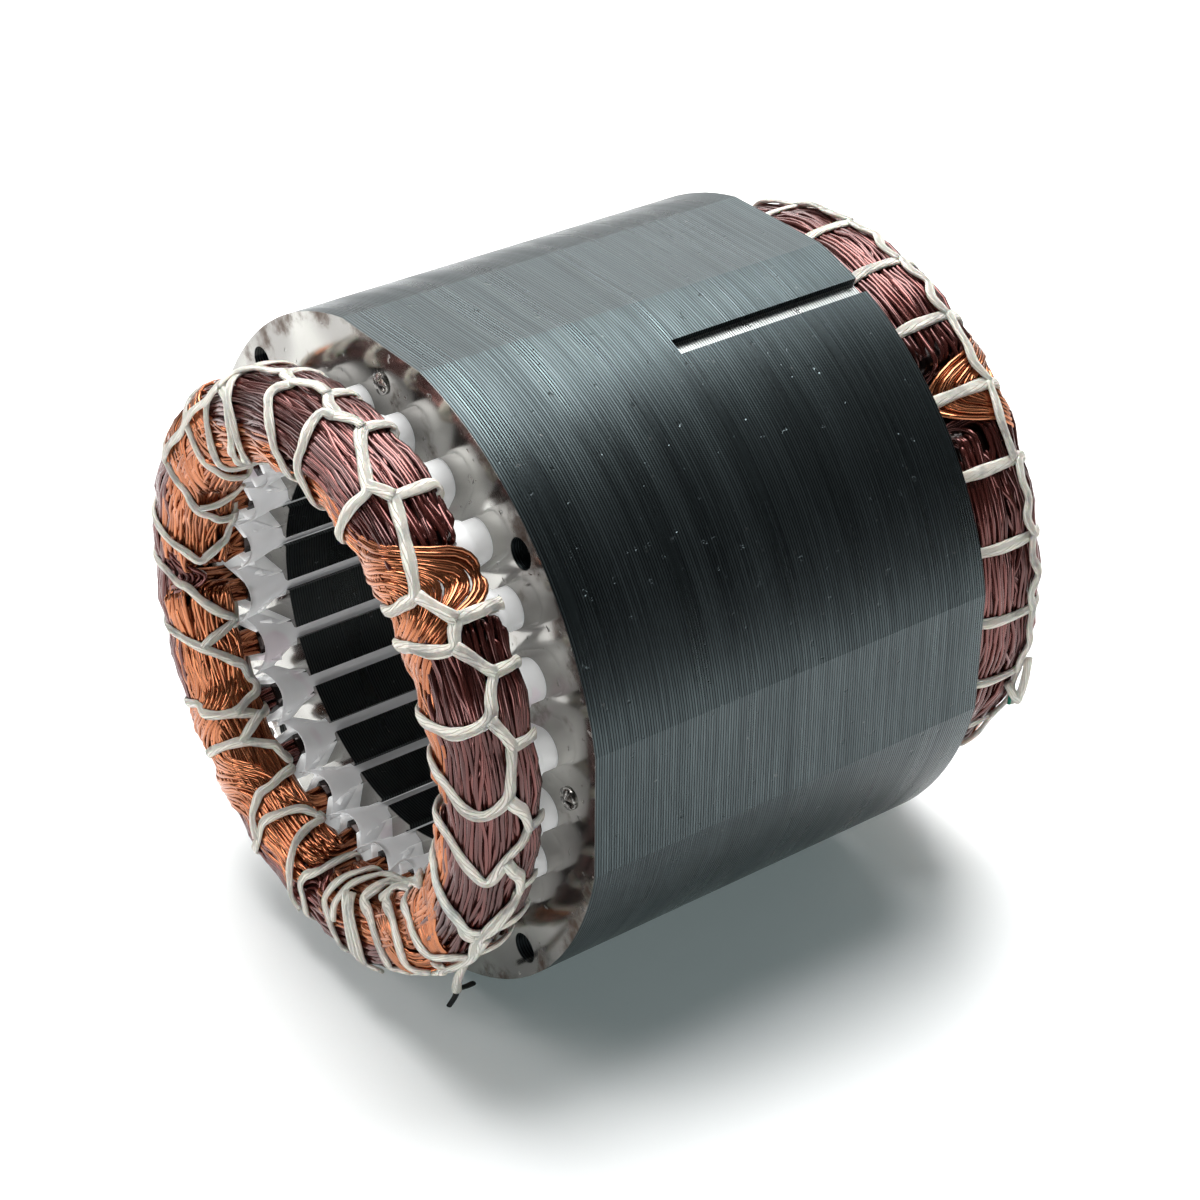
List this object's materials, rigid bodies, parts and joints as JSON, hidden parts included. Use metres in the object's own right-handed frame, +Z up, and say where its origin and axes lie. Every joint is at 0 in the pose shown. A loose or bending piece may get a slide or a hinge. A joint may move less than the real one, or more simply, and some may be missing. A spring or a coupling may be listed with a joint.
{
  "type": "wound stator (lamination stack with windings)",
  "caption": "Wound electric motor stator: slotted round steel lamination stack with flats, insulated copper windings and corded end turns, lying on one flat.",
  "frame": {"origin": "middle of the bore, halfway along the stack", "axes": "+Y along the bore axis, from the near end to the far end; +Z up, away from the flat that the stack lies on; +X completes a right-handed frame"},
  "size_m": [0.1374, 0.1494, 0.1374],
  "materials": {
    "blued_steel": "steam-blued laminated steel, satin, bare bright steel on the end faces",
    "rivet_steel": "bright steel",
    "polyester_film": "white translucent film, satin",
    "dark_enamelled_copper": "dark red-brown enamel on copper wire, glossy",
    "bright_enamelled_copper": "orange-brown clear enamel on copper wire, glossy",
    "lacing_cord": "flat braided polyester cord, off-white with grey dirt"
  },
  "bodies": {
    "root": {"far_lacing": "lacing_cord", "lamination_stack": "blued_steel", "main_winding_pole_1": "dark_enamelled_copper", "main_winding_pole_2": "dark_enamelled_copper", "main_winding_pole_3": "dark_enamelled_copper", "main_winding_pole_4": "dark_enamelled_copper", "near_lacing": "lacing_cord", "slot_liner_01": "polyester_film", "slot_liner_02": "polyester_film", "slot_liner_03": "polyester_film", "slot_liner_04": "polyester_film", "slot_liner_05": "polyester_film", "slot_liner_06": "polyester_film", "slot_liner_07": "polyester_film", "slot_liner_08": "polyester_film", "slot_liner_09": "polyester_film", "slot_liner_10": "polyester_film", "slot_liner_11": "polyester_film", "slot_liner_12": "polyester_film", "slot_liner_13": "polyester_film", "slot_liner_14": "polyester_film", "slot_liner_15": "polyester_film", "slot_liner_16": "polyester_film", "slot_liner_17": "polyester_film", "slot_liner_18": "polyester_film", "slot_liner_19": "polyester_film", "slot_liner_20": "polyester_film", "slot_liner_21": "polyester_film", "slot_liner_22": "polyester_film", "slot_liner_23": "polyester_film", "slot_liner_24": "polyester_film", "slot_wedge_01": "polyester_film", "slot_wedge_02": "polyester_film", "slot_wedge_03": "polyester_film", "slot_wedge_04": "polyester_film", "slot_wedge_05": "polyester_film", "slot_wedge_06": "polyester_film", "slot_wedge_07": "polyester_film", "slot_wedge_08": "polyester_film", "slot_wedge_09": "polyester_film", "slot_wedge_10": "polyester_film", "slot_wedge_11": "polyester_film", "slot_wedge_12": "polyester_film", "slot_wedge_13": "polyester_film", "slot_wedge_14": "polyester_film", "slot_wedge_15": "polyester_film", "slot_wedge_16": "polyester_film", "slot_wedge_17": "polyester_film", "slot_wedge_18": "polyester_film", "slot_wedge_19": "polyester_film", "slot_wedge_20": "polyester_film", "slot_wedge_21": "polyester_film", "slot_wedge_22": "polyester_film", "slot_wedge_23": "polyester_film", "slot_wedge_24": "polyester_film", "stack_rivets": "rivet_steel", "start_winding_pole_1": "bright_enamelled_copper", "start_winding_pole_2": "bright_enamelled_copper", "start_winding_pole_3": "bright_enamelled_copper", "start_winding_pole_4": "bright_enamelled_copper"}
  },
  "joints": []
}
